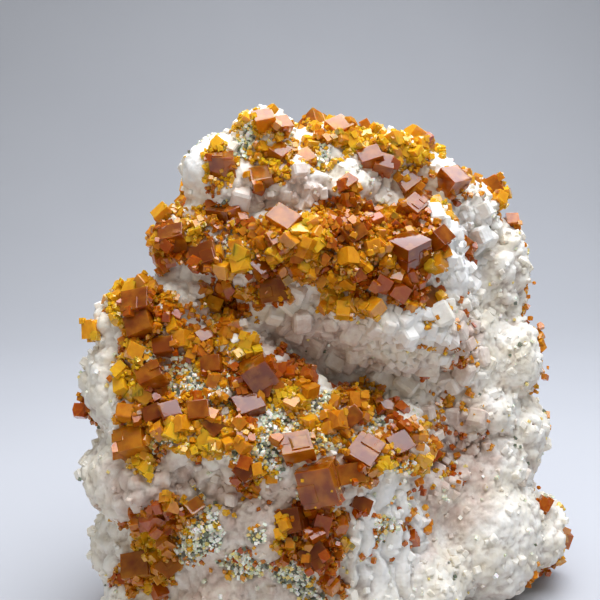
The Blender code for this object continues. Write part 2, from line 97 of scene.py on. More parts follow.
def only(obj):
    """Selects this object alone and makes it the active one."""
    bpy.ops.object.select_all(action="DESELECT")
    obj.select_set(True)
    bpy.context.view_layer.objects.active = obj


FLOOR_WIDTH = 1.6  # metres, as the rest of the studio
SWEEP_FRONT = -1.2
SWEEP_DEPTH = 0.55
SWEEP_HEIGHT = 0.9
SWEEP_BEND = 0.3  # radius of the bend from the floor to the wall

sweep_mesh = bpy.data.meshes.new("paper_sweep")
profile = [(SWEEP_FRONT, 0.0), (SWEEP_DEPTH - SWEEP_BEND, 0.0)]
profile += [
    (SWEEP_DEPTH - SWEEP_BEND + SWEEP_BEND * math.sin(turn), SWEEP_BEND - SWEEP_BEND * math.cos(turn))
    for turn in np.linspace(0.1, math.pi / 2, 14)
]
profile += [(SWEEP_DEPTH, SWEEP_HEIGHT)]
corners = [(side * FLOOR_WIDTH / 2, y, z) for y, z in profile for side in (-1, 1)]
strips = [(2 * i, 2 * i + 1, 2 * i + 3, 2 * i + 2) for i in range(len(profile) - 1)]
sweep_mesh.from_pydata(corners, [], strips)
sweep = bpy.data.objects.new("paper_sweep", sweep_mesh)
bpy.context.scene.collection.objects.link(sweep)
for face in sweep_mesh.polygons:
    face.use_smooth = True

# Matt pale background paper with the faintest mottle.
paper, tree, shader = new_material("matt_paper")
place = node(tree, "ShaderNodeTexCoord").outputs["Object"]
mottle = node(tree, "ShaderNodeTexNoise", {"Scale": 9.0, "Detail": 3.0}, Vector=place)
tint = node(tree, "ShaderNodeMix", {"data_type": "RGBA", "_6": linear("#B4B5B8"), "_7": linear("#BCBDBF")},
            Factor=mottle.outputs["Fac"])
tree.links.new(tint.outputs[2], shader.inputs["Base Color"])
shader.inputs["Roughness"].default_value = 0.9
sweep.data.materials.append(paper)


def soft_light(name, place, target, size, power, colour):
    """A rectangular soft light, all sizes in metres."""
    data = bpy.data.lights.new(name, "AREA")
    data.shape = "RECTANGLE"
    data.size, data.size_y = size
    data.energy = power
    data.color = colour
    lamp = bpy.data.objects.new(name, data)
    bpy.context.scene.collection.objects.link(lamp)
    lamp.location = place
    lamp.rotation_euler = (Vector(target) - Vector(place)).to_track_quat("-Z", "Y").to_euler()
    return lamp


softbox = soft_light("softbox", (0.07, 0.02, 0.42), (0.0, 0.0, 0.06), (0.50, 0.42), 3.2, (0.86, 0.90, 1.0))
key = soft_light("key", (0.02, -0.06, 0.44), (0.0, 0.0, 0.06), (0.40, 0.36), 1.0, (0.93, 0.95, 1.0))
key.visible_glossy = False
front_fill = soft_light("front_fill", (-0.30, -0.55, 0.14), (0, 0, 0.05), (0.4, 0.4), 0.72, (1.0, 0.91, 0.78))
front_fill.visible_glossy = False
world = bpy.data.worlds.new("studio_air")
world.use_nodes = True
world.node_tree.nodes["Background"].inputs["Color"].default_value = (0.93, 0.95, 0.96, 1.0)
world.node_tree.nodes["Background"].inputs["Strength"].default_value = 0.18
bpy.context.scene.world = world


# ---- Zeolite crust ----------------------------------------------------------------------------------------
# The rock under the crystals: basalt wholly coated with white zeolite that grew over it from water, in
# rounded knobs and granular skin, with pasty hanging ribs down the right of the front. It takes the place of
# the matrix.

CRUST_GRAIN = 0.66  # millimetres between the points of its skin
KNOB = 3.7  # across one rounded knob
KNOB_HEIGHT = 1.25
BEAD = 1.6  # across one of the beads that cover the knobs
BEAD_HEIGHT = 0.52
RIB = 3.1  # across one hanging rib
RIB_LENGTH = 15.0
RIB_HEIGHT = 2.3
SKIN_SWELL = 0.30  # the skin stands this much proud of the solid, so that no root of a crystal hangs free
GRIT = 1.1  # across the finest unevenness that is modelled
GRIT_HEIGHT = 0.10
SHADE_REACH = 13.0  # how far off a wall still shades a hollow
SHADE_RAYS = 14
GOLDEN_TURN = 2.399963  # spreads the rays evenly round a ball

# Places are read on the drawing plane, which stands square to the line of sight: (across, up) of a middle,
# half widths, and a turn in degrees against the clock.
RIBBED_WALL = [((13.5, -42.0), (8.5, 12.0), 0)]
# Beige walls: partly the crust's own beige-pink stain, partly painted shade where a wall lies out of the
# light, as down the right flank.
BEIGE_WALL = [
    ((-25.0, -31.0), (9.0, 6.0), 0),
    ((-8.0, -36.0), (12.0, 7.5), 0),
    ((-9.0, -50.0), (13.0, 8.0), 0),
    ((19.5, -40.0), (4.0, 6.0), 0),
    ((-3.0, 18.5), (9.0, 3.6), 0),
    ((2.0, -6.5), (12.0, 5.0), 0),
    ((-13.0, 0.0), (6.0, 4.0), 0),
    ((26.0, -27.0), (8.0, 14.0), 0),
    ((27.0, -8.0), (4.0, 6.0), 0),
]
# Bright walls: partly whiter zeolite, partly painted light where the walls catch the most light; there the
# crust is kept white and clear of the painted shade.
BRIGHT_WALL = [
    ((20.0, -4.5), (5.5, 4.0), 0),
    ((14.5, -40.0), (7.0, 10.0), 0),
    ((-17.0, 25.0), (5.0, 5.0), 0),
    ((27.0, 8.0), (6.0, 9.0), 0),
]
# Where the crust carries druse: tiny glassy grains on a dark grey-green ground.
DRUSE_BEDS = [
    ((-4.8, -23.3), (2.8, 6.0), 0, 1.0),
    ((-11.2, -25.5), (1.4, 3.5), 0, 0.9),
    ((-24.6, -24.0), (3.0, 2.0), 0, 0.8),
    ((-17.9, -41.3), (4.2, 3.2), 0, 1.0),
    ((-9.4, -45.0), (3.8, 1.9), 0, 0.8),
    ((0.0, -34.0), (1.4, 1.6), 0, 1.0),
    ((-0.3, -47.9), (5.2, 1.8), -38, 1.0),
    ((-7.1, -40.0), (1.2, 2.2), 0, 0.8),
    ((-19.6, -13.6), (3.8, 4.0), 0, 1.0),
    ((-26.0, -9.2), (1.6, 1.8), 0, 0.9),
    ((-13.6, -16.2), (3.2, 3.6), 0, 0.5),
    ((2.7, -17.9), (2.6, 2.6), 0, 0.9),
    ((-2.0, -20.1), (3.0, 2.2), 0, 1.0),
    ((4.6, -23.5), (2.6, 2.2), 0, 1.0),
    ((13.4, -20.2), (1.8, 1.8), 0, 0.9),
    ((13.9, -38.8), (2.8, 1.8), 0, 0.5),
    ((17.0, -27.5), (1.8, 1.5), 0, 0.8),
    ((-9.2, 26.5), (2.4, 2.9), 0, 0.9),
    ((-12.4, 16.2), (1.8, 1.2), 0, 0.8),
    ((-11.6, 9.7), (1.3, 2.4), 0, 0.8),
    ((3.9, 24.5), (2.2, 1.7), 0, 0.8),
    ((-16.5, -36.0), (2.0, 4.0), 20, 0.7),
]
# (across, up) of the middle, half widths, turn, and how rich the bed is
CHABAZITE_BEDS = [
    ((-13.9, 22.4), (3.4, 3.7), 0, 0.6),
    ((-6.5, 29.0), (4.4, 2.2), 0, 0.5),
    ((-5.1, 22.9), (4.6, 4.4), 0, 0.65),
    ((2.5, 25.5), (4.3, 3.0), 0, 0.5),
    ((11.9, 27.2), (10.2, 2.8), -8, 0.55),
    ((24.6, 21.2), (6.0, 3.0), -30, 0.22),
    ((17.0, 23.8), (3.2, 2.4), 0, 0.35),
    ((-13.3, 13.9), (4.5, 2.6), 0, 0.9),
    ((-20.4, 11.0), (4.6, 4.8), 40, 0.9),
    ((-12.8, 8.5), (5.2, 4.4), 0, 0.7),
    ((-2.5, 9.3), (6.6, 6.4), 0, 1.0),
    ((6.0, 9.3), (8.0, 8.2), 0, 1.0),
    ((16.2, 8.5), (7.6, 7.6), 0, 1.0),
    ((8.5, 0.0), (4.4, 2.8), 0, 0.9),
    ((18.7, 0.9), (4.4, 3.0), 0, 0.8),
    ((-6.0, 2.6), (3.8, 3.2), 0, 0.8),
    ((21.3, 14.5), (3.4, 4.4), 0, 0.12),
    ((24.7, -5.1), (5.0, 7.0), 0, 0.04),
    ((-25.5, -1.7), (6.4, 4.0), 0, 1.0),
    ((-12.8, 0.0), (6.0, 4.4), 0, 0.45),
    ((-22.1, -11.9), (9.6, 9.6), 0, 0.85),
    ((-12.8, -12.8), (6.8, 6.8), 0, 0.65),
    ((-14.5, -21.3), (8.0, 5.4), 0, 0.85),
    ((-25.5, -22.1), (5.4, 6.0), 0, 1.0),
    ((-4.3, -14.5), (6.6, 4.8), 0, 1.0),
    ((0.0, -20.4), (5.2, 3.2), 0, 0.7),
    ((3.4, -22.1), (4.8, 3.8), 0, 0.8),
    ((10.2, -26.4), (5.2, 3.8), 0, 0.9),
    ((10.2, -17.0), (4.8, 2.8), 0, 0.8),
    ((17.9, -24.7), (4.8, 3.8), 0, 0.8),
    ((-8.5, -28.9), (4.0, 3.2), 0, 0.45),
    ((1.7, -40.0), (5.6, 6.2), 0, 1.0),
    ((4.4, -46.0), (1.4, 4.8), 35, 0.9),
    ((-23.0, -39.1), (5.4, 6.0), -40, 1.0),
    ((-26.4, -46.8), (5.2, 4.2), 0, 0.9),
    ((11.9, -37.4), (7.7, 10.2), 0, 0.008),
    ((-11.9, -40.8), (10.2, 8.5), 0, 0.02),
    ((25.5, -20.4), (6.8, 11.9), 0, 0.06),
]


def new_object(name, mesh):
    obj = bpy.data.objects.new(name, mesh)
    bpy.context.scene.collection.objects.link(obj)
    return obj


def arrays_of(mesh):
    """The places of a mesh's points in millimetres, their normals, and its triangles."""
    places = np.empty(len(mesh.vertices) * 3, np.float32)
    mesh.vertices.foreach_get("co", places)
    places = places.reshape(-1, 3).astype(float) / MM
    mesh.calc_loop_triangles()
    triangles = np.empty(len(mesh.loop_triangles) * 3, np.int32)
    mesh.loop_triangles.foreach_get("vertices", triangles)
    triangles = triangles.reshape(-1, 3)
    a, b, c = (places[triangles[:, corner]] for corner in range(3))
    square = np.cross(b - a, c - a)
    normals = np.zeros_like(places)
    for corner in range(3):
        np.add.at(normals, triangles[:, corner], square)
    normals /= np.maximum(np.linalg.norm(normals, axis=1, keepdims=True), 1e-12)
    return places, normals, triangles


noise.seed_set(5)  # the vector noise would otherwise change from run to run


def on_drawing(places):
    """(across, up) of each place on the drawing plane, bent a little so that no bed has a smooth rim."""
    away = places - np.array(EYE)
    depth = away @ np.array(SIGHT)
    drawn = np.stack([away[:, 0] / depth, away @ np.array(SIGHT_UP) / depth], axis=1) * SIGHT_DISTANCE
    coarse = [noise.noise_vector(Vector(p) / 4.5) * 1.7 for p in places]
    fine = [noise.noise_vector(Vector(p) / 1.4) * 0.7 for p in places]
    return drawn + np.array([a + b for a, b in zip(coarse, fine)])[:, :2]


def inside(drawn, beds):
    """How deep each drawn point lies in the richest of the beds: 1 in the middle, 0 from the rim on."""
    best = np.zeros(len(drawn))
    for (across, up), (wide, high), turn, *rich in beds:
        c, s = math.cos(math.radians(turn)), math.sin(math.radians(turn))
        x, z = drawn[:, 0] - across, drawn[:, 1] - up
        ring = np.sqrt(((x * c + z * s) / wide) ** 2 + ((z * c - x * s) / high) ** 2)
        share = np.clip((1.15 - ring) / 0.45, 0.0, 1.0) * (rich[0] if rich else 1.0)
        best = np.maximum(best, share)
    return best


def facing_eye(places, normals):
    """1 where the skin looks towards the eye, 0 where it looks away."""
    look = np.array(EYE) - places
    look /= np.linalg.norm(look, axis=1, keepdims=True)
    return np.clip((look * normals).sum(1) * 3.0 + 0.9, 0.0, 1.0)


def crease(place, size, seed):
    """A rounded lump: 1 on its top and 0 in the crease round it."""
    first, second = noise.voronoi(Vector((place[0] + seed, place[1], place[2])) / size)[0][:2]
    rise = min(1.0, (second - first) * 2.1)
    return math.sin(rise * math.pi / 2)


def shaded(tree, place, normal, directions):
    """How far a place lies in a hollow: the share of its outlook that a near wall takes up."""
    start = Vector(place) + Vector(normal) * 0.6
    hidden = 0.0
    for direction in directions:
        if direction.dot(Vector(normal)) < 0.1:
            direction = direction - 2 * direction.dot(Vector(normal)) * Vector(normal)
        hit = tree.ray_cast(start, direction, SHADE_REACH)
        if hit[0] is not None:
            hidden += 1.0 - 0.6 * hit[3] / SHADE_REACH
    return hidden / len(directions)


def cloud_at(spot, size, seed):
    """A slow noise through space, from about -0.5 to 0.5, for beds on the sides and the back."""
    return noise.noise(Vector(spot) / size + Vector((seed, 2 * seed, 3 * seed)))


def bed_richness(spots, normals, beds, size, seed, level):
    """How rich each spot is: by the beds where it faces the eye and by a slow noise elsewhere."""
    front = facing_eye(spots, normals) > 0.5
    drawn_rich = inside(on_drawing(spots), beds)
    rich = np.empty(len(spots))
    for i, spot in enumerate(spots):
        ragged = noise.noise(Vector(spot) / 2.3) * 0.9
        if front[i]:
            rich[i] = drawn_rich[i] + ragged * 0.8 * (0.02 < drawn_rich[i] < 0.98)
        else:
            rich[i] = (cloud_at(spot, size, seed) + 0.12 * normals[i][2] - level) * 4.0 + ragged * 0.4
    return np.clip(rich, 0.0, 1.0), front


def store(mesh, name, values):
    """Keeps one number per point for the material to read."""
    layer = mesh.attributes.new(name, "FLOAT", "POINT")
    layer.data.foreach_set("value", np.asarray(values, np.float32))


crust = new_object("zeolite_crust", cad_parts["matrix"].data.copy())
crust.data.materials.clear()
only(crust)
bpy.ops.object.mode_set(mode="EDIT")
bpy.ops.mesh.select_all(action="SELECT")
bpy.ops.mesh.remove_doubles(threshold=0.00001)
bpy.ops.object.mode_set(mode="OBJECT")
weld = crust.modifiers.new("weld", "REMESH")
weld.mode = "VOXEL"
weld.voxel_size = CRUST_GRAIN * MM
even = crust.modifiers.new("even", "SMOOTH")
even.factor = 0.5
even.iterations = 9
for modifier in ("weld", "even"):
    bpy.ops.object.modifier_apply(modifier=modifier)

solid = BVHTree.FromPolygons(
    [tuple(v.co / MM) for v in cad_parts["matrix"].data.vertices],
    [tuple(p.vertices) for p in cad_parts["matrix"].data.polygons],
)
skin, skin_normals, skin_triangles = arrays_of(crust.data)
drawn = on_drawing(skin)
front = facing_eye(skin, skin_normals)
ribbed = inside(drawn, RIBBED_WALL) * front
swell = np.empty(len(skin))
for i, (place, normal) in enumerate(zip(skin, skin_normals)):
    spot = Vector(place)
    bent = spot + noise.noise_vector(spot / 6.0) * 1.6
    knobs = (crease(bent, KNOB, 0.0) - 0.55) * KNOB_HEIGHT * (0.55 + noise.noise(spot / 14.0))
    beads = (crease(bent, BEAD, 9.0) - 0.5) * BEAD_HEIGHT
    if ribbed[i] > 0.01:
        hanging = Vector((bent.x / RIB, bent.y / RIB, bent.z / RIB_LENGTH))
        ribs = (crease(hanging, 1.0, 4.0) - 0.45) * RIB_HEIGHT
        knobs = knobs * (1.0 - ribbed[i]) + ribs * ribbed[i]
    swell[i] = SKIN_SWELL + knobs + beads + noise.fractal(spot / GRIT, 0.8, 2.0, 3) * GRIT_HEIGHT
skin = skin + skin_normals * swell[:, None]
skin[:, 2] = np.maximum(skin[:, 2], 0.0)
crust.data.vertices.foreach_set("co", (skin * MM).astype(np.float32).ravel())
crust.data.update()
for face in crust.data.polygons:
    face.use_smooth = True

skin, skin_normals, skin_triangles = arrays_of(crust.data)
around = [Vector((math.cos(a) * math.cos(b), math.sin(a) * math.cos(b), math.sin(b)))
          for a, b in [(i * GOLDEN_TURN, math.asin(1 - (2 * i + 1) / SHADE_RAYS)) for i in range(SHADE_RAYS)]]
hollow = np.array([shaded(solid, p, n, around) for p, n in zip(skin, skin_normals)])
crest = np.clip((swell - SKIN_SWELL) / 0.8 + 0.5, 0.0, 1.0)
front = facing_eye(skin, skin_normals)
behind = np.array([noise.noise(Vector(p) / 11.0 + Vector((3, 8, 1))) for p in skin])
druse_behind = np.clip((behind - 0.28) * 7.0, 0, 0.6) * (1 - front)
druse_ground = np.maximum(inside(drawn, DRUSE_BEDS) * front, druse_behind)
store(crust.data, "hollow", np.clip(hollow * 1.5, 0.0, 1.0))
store(crust.data, "crest", crest)
store(crust.data, "druse", druse_ground)
stained, _ = bed_richness(skin, skin_normals, CHABAZITE_BEDS, 10.0, 1.0, 0.06)
store(crust.data, "amber", np.clip(stained * np.where(front > 0.5, 1.6, 0.6) - 0.35, 0.0, 1.0))
# Painted shade: faces that look down, away from the overhead light, are tinted beige; the beige beds are
# partly the crust's own stain and partly painted shade.
painted_underside_shade = np.clip(-skin_normals[:, 2] - 0.1, 0, 1)
store(crust.data, "beige", np.maximum(inside(drawn, BEIGE_WALL) * front, painted_underside_shade))
store(crust.data, "bright", inside(drawn, BRIGHT_WALL) * front)

# Fine-grained zeolite: chalky white with a faint sugar sparkle, beige-pink partly where iron has stained it
# and partly as painted shade on undersides and walls out of the light, browner and greyer in hollows (painted
# shade, partly also a real stain) and in creases (painted shade), whiter on the brightest walls (partly its
# own whiter zeolite, partly painted light), and dark grey-green where the druse sits.
chalk, tree, shader = new_material("zeolite_crust")
place = node(tree, "ShaderNodeTexCoord").outputs["Object"]
PER_MM = 1000.0  # a texture scale of one repeat to the millimetre


def value_of(tree, name):
    return node(tree, "ShaderNodeAttribute", {"attribute_name": name}).outputs["Fac"]


def mixed(tree, factor, first, second):
    """One colour run into another: each a socket or an sRGB hex value."""
    made = node(tree, "ShaderNodeMix", {"data_type": "RGBA"}, Factor=factor)
    for index, colour in ((6, first), (7, second)):
        if isinstance(colour, str):
            made.inputs[index].default_value = linear(colour)
        else:
            tree.links.new(colour, made.inputs[index])
    return made.outputs[2]


def ramped(tree, source, low, high):
    """A number drawn out so that low becomes 0 and high becomes 1."""
    made = node(tree, "ShaderNodeMapRange", {"From_Min": low, "From_Max": high}, Value=source)
    return made.outputs["Result"]


def times(tree, first, second):
    return node(tree, "ShaderNodeMath", {"operation": "MULTIPLY"}, _0=first, _1=second).outputs[0]


patches = node(tree, "ShaderNodeTexNoise", {"Scale": PER_MM / 7.0, "Detail": 4.0, "Roughness": 0.6},
               Vector=place)
stains = node(tree, "ShaderNodeTexNoise", {"Scale": PER_MM / 3.2, "Detail": 5.0, "Roughness": 0.65},
              Vector=place)
sugar = node(tree, "ShaderNodeTexNoise", {"Scale": PER_MM / 0.55, "Detail": 3.0, "Roughness": 0.7},
             Vector=place)
pores = node(tree, "ShaderNodeTexVoronoi", {"Scale": PER_MM / 0.8}, Vector=place)
curds = node(tree, "ShaderNodeTexVoronoi", {"Scale": PER_MM / 1.0, "feature": "SMOOTH_F1"}, Vector=place)

colour = mixed(tree, ramped(tree, patches.outputs["Fac"], 0.40, 0.62), "#F2EEE4", "#E8DFCB")
warm = times(tree, value_of(tree, "beige"), ramped(tree, stains.outputs["Fac"], 0.25, 0.62))
colour = mixed(tree, warm, colour, "#CDB4A4")
# Painted shade, partly also a real stain: the deeper a place lies in a hollow, the browner and greyer it is
# painted.
deep = times(tree, value_of(tree, "hollow"), ramped(tree, stains.outputs["Fac"], 0.10, 0.60))
colour = mixed(tree, ramped(tree, deep, 0.25, 0.95), colour, "#B39C8B")
# Painted shade: the low creases between the knobs are painted darker.
low = ramped(tree, value_of(tree, "crest"), 0.42, 0.02)
colour = mixed(tree, times(tree, low, ramped(tree, stains.outputs["Fac"], 0.35, 0.75)), colour, "#A48F80")
amber_film = times(tree, value_of(tree, "amber"), ramped(tree, sugar.outputs["Fac"], 0.15, 0.55))
colour = mixed(tree, amber_film, colour, "#A8681C")
gaps = times(tree, value_of(tree, "druse"), ramped(tree, pores.outputs["Distance"], 0.10, 0.45))
colour = mixed(tree, gaps, colour, "#5A5E4E")
# Painted light, partly whiter zeolite: the brightest-lit walls are kept white over the painted shade.
colour = mixed(tree, value_of(tree, "bright"), colour, "#F4F1EA")
tree.links.new(colour, shader.inputs["Base Color"])
shader.inputs["Roughness"].default_value = 0.62
shader.inputs["Subsurface Weight"].default_value = 0.15
shader.inputs["Subsurface Radius"].default_value = (1.0, 0.85, 0.7)
shader.inputs["Subsurface Scale"].default_value = 0.8 * MM
shader.inputs["Specular IOR Level"].default_value = 0.45
grainy = node(tree, "ShaderNodeBump", {"Strength": 0.55, "Distance": 0.10 * MM}, Height=sugar.outputs["Fac"])
curdled = node(tree, "ShaderNodeBump", {"Strength": 0.7, "Distance": 0.30 * MM, "invert": True},
               Height=curds.outputs["Distance"], Normal=grainy.outputs["Normal"])
lumpy = node(tree, "ShaderNodeBump", {"Strength": 0.6, "Distance": 0.35 * MM}, Height=stains.outputs["Fac"],
             Normal=curdled.outputs["Normal"])
tree.links.new(lumpy.outputs["Normal"], shader.inputs["Normal"])
crust.data.materials.append(chalk)
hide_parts("matrix")
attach(crust, "root")


# ---- Zeolite blocks ---------------------------------------------------------------------------------------
# Stubby white crystals of 1 to 5 mm that stand half out of the crust, thickest under the overhang and down
# the right flank. They are the same zeolite as the crust, with worn, rounded edges.

BLOCK_LEAST = 0.9
BLOCK_MOST = 4.6
BLOCK_TRIES = 26000
BLOCK_STRAY = 0.10  # how rich the crust is in blocks outside their beds
BLOCK_CROWDING = 0.33  # how close two may stand, as a share of their sizes together
BLOCK_TILT = 0.5
BLOCK_BEVEL = 0.13
BLOCK_ANGLE = math.radians(92)  # between two edges at a corner
BLOCKY_BEDS = [
    ((3.4, -4.5), (12.0, 4.6), -20, 1.0),
    ((14.5, -9.0), (9.0, 6.5), 0, 1.0),
    ((25.0, -14.0), (8.0, 17.0), 0, 0.8),
    ((-3.0, 17.5), (11.0, 4.0), 0, 0.55),
    ((27.0, 9.0), (6.0, 11.0), 0, 0.6),
    ((-13.0, 1.0), (6.0, 5.0), 0, 0.5),
    ((-20.0, -33.0), (8.0, 5.0), 0, 0.2),
]


def block_form(bevel):
    """A block one unit across with beveled edges: (points, sides). It is modelled once and then copied."""
    bpy.ops.object.select_all(action="DESELECT")
    bpy.ops.mesh.primitive_cube_add(size=1.0)
    block = bpy.context.object
    if bevel:
        bpy.ops.object.mode_set(mode="EDIT")
        bpy.ops.mesh.select_all(action="SELECT")
        bpy.ops.mesh.bevel(offset=bevel, segments=1)
        bpy.ops.object.mode_set(mode="OBJECT")
    points = np.array([tuple(v.co) for v in block.data.vertices])
    sides = [np.array(p.vertices) for p in block.data.polygons]
    bpy.data.objects.remove(block, do_unlink=True)
    return points, sides


def chipped_form(seed):
    """A block one unit across that has lost two to four corners, as crystals do that grew against others."""
    chance = np.random.default_rng(seed)
    mesh = bmesh.new()
    bmesh.ops.create_cube(mesh, size=1.0)
    for _ in range(chance.integers(2, 5)):
        away = Vector(chance.choice((-1.0, 1.0), size=3) + chance.normal(size=3) * 0.35).normalized()
        bmesh.ops.bisect_plane(
            mesh, geom=mesh.verts[:] + mesh.edges[:] + mesh.faces[:],
            plane_co=away * chance.uniform(0.56, 0.74), plane_no=away, clear_outer=True,
        )
        bmesh.ops.holes_fill(mesh, edges=[e for e in mesh.edges if e.is_boundary])
    bmesh.ops.recalc_face_normals(mesh, faces=mesh.faces[:])
    mesh.verts.index_update()
    points = np.array([tuple(v.co) for v in mesh.verts])
    sides = [np.array([v.index for v in f.verts]) for f in mesh.faces]
    mesh.free()
    return points, sides


def joined_blocks(name, blocks, forms, plain_under=0.0, **numbers):
    """One mesh of many blocks: (middle, edge directions with their lengths) each, in millimetres. The forms
    take turns, but blocks under a size all have the first. Each of the numbers has one value per block, which
    the material reads at every point of it."""
    places, faces, counts, start = [], [], [], 0
    for i, (middle, axes) in enumerate(blocks):
        points, sides = forms[0 if np.linalg.norm(axes[0]) < plain_under else i % len(forms)]
        places.append(points @ axes + middle)
        faces += [(side + start).tolist() for side in sides]
        counts.append(len(points))
        start += len(points)
    mesh = bpy.data.meshes.new(name)
    mesh.from_pydata((np.concatenate(places) * MM).tolist(), [], faces)
    for key, values in numbers.items():
        store(mesh, key, np.repeat(values, counts))
    return new_object(name, mesh)


def skin_samples(count, seed):
    """Random places on the crust, spread evenly over its area: the places, the crust's normals there, how
    deep in a hollow they lie, and a number from 0 to 1 drawn for each."""
    chance = np.random.default_rng(seed)
    middles = skin[skin_triangles].mean(axis=1)
    triangles = skin_triangles[np.lexsort(middles.T)]
    a, b, c = (skin[triangles[:, corner]] for corner in range(3))
    areas = np.linalg.norm(np.cross(b - a, c - a), axis=1)
    picked = chance.choice(len(areas), size=count, p=areas / areas.sum())
    u, v = chance.random((2, count, 1))
    flip = (u + v) > 1
    u, v = np.where(flip, 1 - u, u), np.where(flip, 1 - v, v)
    spots = a[picked] * (1 - u - v) + b[picked] * u + c[picked] * v
    corner = triangles[picked].min(axis=1)
    return spots, skin_normals[triangles[picked]].mean(axis=1), hollow[corner], chance.random(count)


def lot_at(place, salt):
    """The random numbers of one place, so that no crystal's form hangs on how many came before."""
    return np.random.default_rng([salt] + [int(round(c * 20.0)) + 9000 for c in place])


def rhomb_axes(normal, spin, edge_angle):
    """The three edge directions of a rhomb whose top face is square to normal."""
    along = Vector((0.0, 0.0, 1.0)).cross(normal)
    along = along.normalized() if along.length > 0.01 else Vector((1.0, 0.0, 0.0))
    side = normal.cross(along)
    first = along * math.cos(spin) + side * math.sin(spin)
    square = normal.cross(first)
    slant = math.cos(edge_angle)
    lift = (slant - slant * slant) / math.sin(edge_angle)
    second = first * slant + square * math.sin(edge_angle)
    third = first * slant + square * lift + normal * math.sqrt(1.0 - slant * slant - lift * lift)
    return np.array([first, second, third])


def kept_apart(taken, place, size, crowding):
    """Whether a new block keeps its distance from the ground and from those that are there. If it does, it is
    one of them."""
    if place[2] < size * 0.95:
        return False
    cell = tuple(int(c // 3.5) for c in place)
    for x in (-1, 0, 1):
        for y in (-1, 0, 1):
            for z in (-1, 0, 1):
                for other, other_size in taken.get((cell[0] + x, cell[1] + y, cell[2] + z), ()):
                    if np.linalg.norm(other - place) < (size + other_size) * crowding:
                        return False
    taken.setdefault(cell, []).append((place, size))
    return True


def jolted(chance, normal, amount):
    """A direction near the normal, drawn a little towards the light."""
    made = Vector(normal) + Vector(chance.normal(size=3)) * amount + Vector((0, 0, 0.25))
    return made.normalized()


crust_tree = KDTree(len(skin))
for i, place in enumerate(skin):
    crust_tree.insert(place, i)
crust_tree.balance()
crust_numbers = {key: np.empty(len(skin), np.float32) for key in ("hollow", "beige", "bright")}
for key, values in crust_numbers.items():
    crust.data.attributes[key].data.foreach_get("value", values)

spots, spot_normals, depth, luck = skin_samples(BLOCK_TRIES, 5)
rich, front = bed_richness(spots, spot_normals, BLOCKY_BEDS, 12.0, 2.0, 0.0)
zeolite_blocks, taken = [], {}
for i in np.flatnonzero(luck < np.maximum(rich * 0.7, BLOCK_STRAY)):
    chance = lot_at(spots[i], 5)
    most = min(1.0, rich[i] + 0.3) * (1.0 if front[i] else 0.6)
    size = BLOCK_LEAST + (BLOCK_MOST - BLOCK_LEAST) * chance.random() ** (3.0 - 1.6 * rich[i]) * most
    place = spots[i] - spot_normals[i] * size * chance.uniform(-0.10, 0.22)
    if kept_apart(taken, place, size, BLOCK_CROWDING):
        up = jolted(chance, spot_normals[i], BLOCK_TILT)
        axes = rhomb_axes(up, chance.uniform(0, math.pi), BLOCK_ANGLE)
        zeolite_blocks.append((place, axes * (size * chance.uniform(0.65, 1.1, size=3))[:, None]))
# The blocks take the crust's numbers from the nearest point of it, and with them its painted shade in hollows
# and on undersides and its painted light on the bright walls.
nearest = [crust_tree.find(middle)[1] for middle, axes in zeolite_blocks]
numbers = {key: values[nearest] for key, values in crust_numbers.items()}
numbers["crest"] = [0.7] * len(nearest)
blocks = joined_blocks("zeolite_blocks", zeolite_blocks, [block_form(BLOCK_BEVEL)], **numbers)
blocks.data.materials.append(chalk)
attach(blocks, "root")
print("zeolite blocks", len(zeolite_blocks))


# ---- Large chabazite --------------------------------------------------------------------------------------
# The crystals of 2.5 to 7 mm: amber rhombs, nearly cubes, that grew on the crust singly and in twins. Their
# edges are a little rounded, their faces carry low growth plates, and their roots are sunk in the crust.

EDGE_ROUND = 0.075  # bevel along every crystal edge
ROOT_REACH = 0.75  # skin of a crystal nearer to the rock than this is its root
ROOT_DEPTH = 1.0  # the roots are drawn this far into the crust
LARGE_SHADE = 0.25  # how deep in a hollow every large crystal counts as lying, for the painted shade in its tint
PLATED_FACE = 5.0  # square millimetres: the least face that carries a plate
PLATE_INSET = 0.42  # from the edge of a face to the growth plate on it
PLATE_HEIGHT = 0.03


